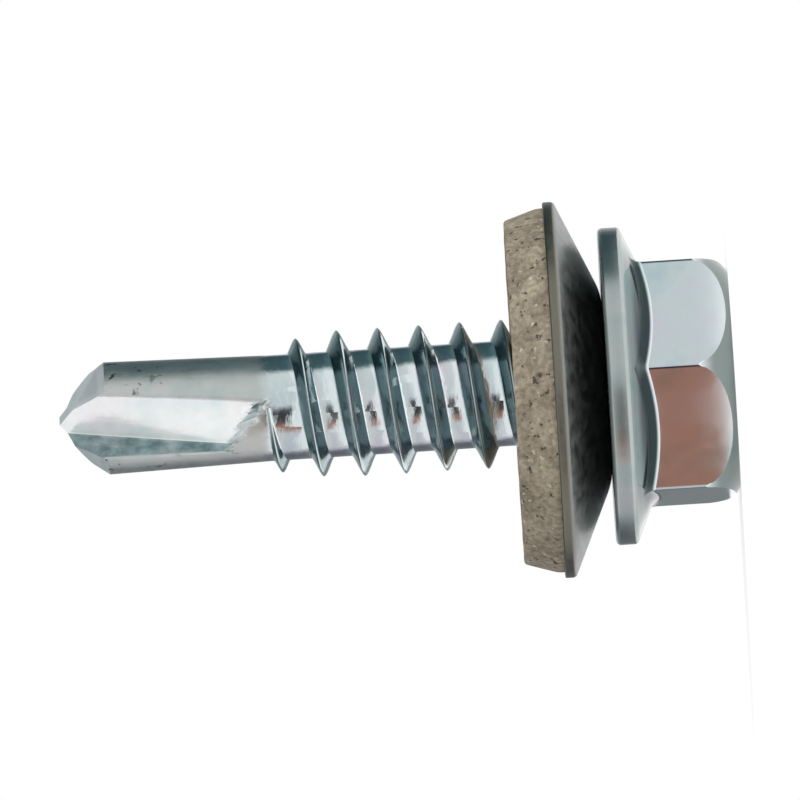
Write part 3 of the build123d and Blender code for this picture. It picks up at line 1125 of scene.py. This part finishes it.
def floor():
    """Pale floor that stays white in the picture and keeps the shadow."""
    made, tree, shader = material("floor_white", FLOOR_COLOUR, 0.9)
    made.cycles.emission_sampling = "NONE"
    shader.inputs["Emission Color"].default_value = (*WHITE, 1)
    tree.links.new(times(tree, seen_ray(tree), FLOOR_GLOW), shader.inputs["Emission Strength"])
    clear_from_below(tree, shader)
    edge = ring(FLOOR_RADIUS, -FLOOR_GAP, np.arange(FLOOR_SIDES) * 2 * np.pi / FLOOR_SIDES)
    plane = mesh_object("floor", edge, [tuple(range(FLOOR_SIDES))])
    plane.data.materials.append(made)


def clear_from_below(tree, shader):
    """Let the camera look through the floor from below, so that it sees the head's top face."""
    path = tree.nodes.new("ShaderNodeLightPath")
    side = tree.nodes.new("ShaderNodeNewGeometry")
    clear = tree.nodes.new("ShaderNodeBsdfTransparent")
    blend = tree.nodes.new("ShaderNodeMixShader")
    share = times(tree, path.outputs["Is Camera Ray"], side.outputs["Backfacing"])
    tree.links.new(share, blend.inputs["Fac"])
    tree.links.new(shader.outputs["BSDF"], blend.inputs[1])
    tree.links.new(clear.outputs["BSDF"], blend.inputs[2])
    tree.links.new(blend.outputs["Shader"], tree.nodes["Material Output"].inputs["Surface"])


def view_axes():
    """Direction to the camera, and the picture's right and up before the roll, for the photograph's view."""
    back = Vector((math.sin(VIEW_AZIMUTH), -math.cos(VIEW_AZIMUTH), 0))
    right = Vector((0, 0, -1))
    up = Vector((math.cos(VIEW_AZIMUTH), math.sin(VIEW_AZIMUTH), 0))
    return back, right, up


def around_ramp(tree, share, stops):
    """Colour by the share of the way round, from stops in degrees from -180 to 180."""
    return ramp(tree, share, [((angle + 180) / 360, colour) for angle, colour in stops])


def mirrored_studio(tree):
    """Colour of the studio in a direction, for the reflections."""
    back, _, up = view_axes()
    direction = tree.nodes.new("ShaderNodeTexCoord").outputs["Generated"]
    angle = math_node(tree, "ARCTAN2", dot(tree, direction, up), dot(tree, direction, back))
    share = plus(tree, math_node(tree, "DIVIDE", angle, 2 * math.pi), 0.5)
    rise = dot(tree, direction, (0, 0, 1))
    level = around_ramp(tree, share, AROUND_STOPS)
    off_level = around_ramp(tree, share, OFF_LEVEL_STOPS)
    steepness = ranged(tree, math_node(tree, "ABSOLUTE", rise), *OFF_LEVEL_RISE)
    around = mixed(tree, steepness, level, off_level)
    height = plus(tree, math_node(tree, "DIVIDE", rise, 2.0), 0.5)
    shade = ramp(tree, height, [((stop + 1) / 2, colour) for stop, colour in HEIGHT_STOPS])
    return mixed(tree, 1.0, around, shade, "MULTIPLY")


def world():
    """White background, plain soft light for matt surfaces and the studio for reflections."""
    made = bpy.data.worlds.new("studio")
    bpy.context.scene.world = made
    made.cycles.sampling_method = "NONE"
    made.use_nodes = True
    tree = made.node_tree
    background = tree.nodes["Background"]
    path = tree.nodes.new("ShaderNodeLightPath")
    colour = mixed(tree, path.outputs["Is Glossy Ray"], WHITE, mirrored_studio(tree))
    tree.links.new(colour, background.inputs["Color"])
    strength = ranged(tree, seen_ray(tree), 0, 1, SOFT_LIGHT, 1.0)
    tree.links.new(strength, background.inputs["Strength"])


def lamp(name, shares, power):
    """Square soft lamp that points at the middle of the screw, from the direction with these shares."""
    back, _, up = view_axes()
    direction = back * shares[0] + up * shares[1] + Vector((0, 0, shares[2]))
    data = bpy.data.lights.new(name, "AREA")
    data.shape = "SQUARE"
    data.size = LAMP_SIZE
    data.energy = power
    made = linked(name, data)
    made.location = Vector((0, 0, VIEW_HEIGHT * MM)) + direction.normalized() * LAMP_DISTANCE
    made.rotation_euler = direction.to_track_quat("Z", "Y").to_euler()
    made.visible_glossy = False


def lamps():
    """Key light from above the picture and a weaker fill from below it."""
    lamp("key", KEY_DIRECTION, KEY_POWER)
    lamp("fill", FILL_DIRECTION, FILL_POWER)


def camera():
    """Camera at the photograph's viewing angle, turned on its side as the screw lies there."""
    back, right, up = view_axes()
    data = bpy.data.cameras.new("camera")
    data.sensor_width = SENSOR_WIDTH
    data.lens = SENSOR_WIDTH * VIEW_DISTANCE / (FRAME_WIDTH * MM)
    data.clip_end = CLIP_END
    made = linked("camera", data)
    turned_right = right * math.cos(VIEW_ROLL) - up * math.sin(VIEW_ROLL)
    turned_up = up * math.cos(VIEW_ROLL) + right * math.sin(VIEW_ROLL)
    place = Vector((0, 0, VIEW_HEIGHT * MM)) + back * VIEW_DISTANCE
    turn = Matrix((turned_right, turned_up, back)).transposed()
    made.matrix_world = Matrix.Translation(place) @ turn.to_4x4()
    bpy.context.scene.camera = made


# ---------------------------------------------------------------- scene

add_screw(zinc_steel())
add_cup(washer_steel())
add_seal(seal_rubber())
floor()
world()
lamps()
camera()
bpy.context.scene.view_settings.view_transform = "Standard"
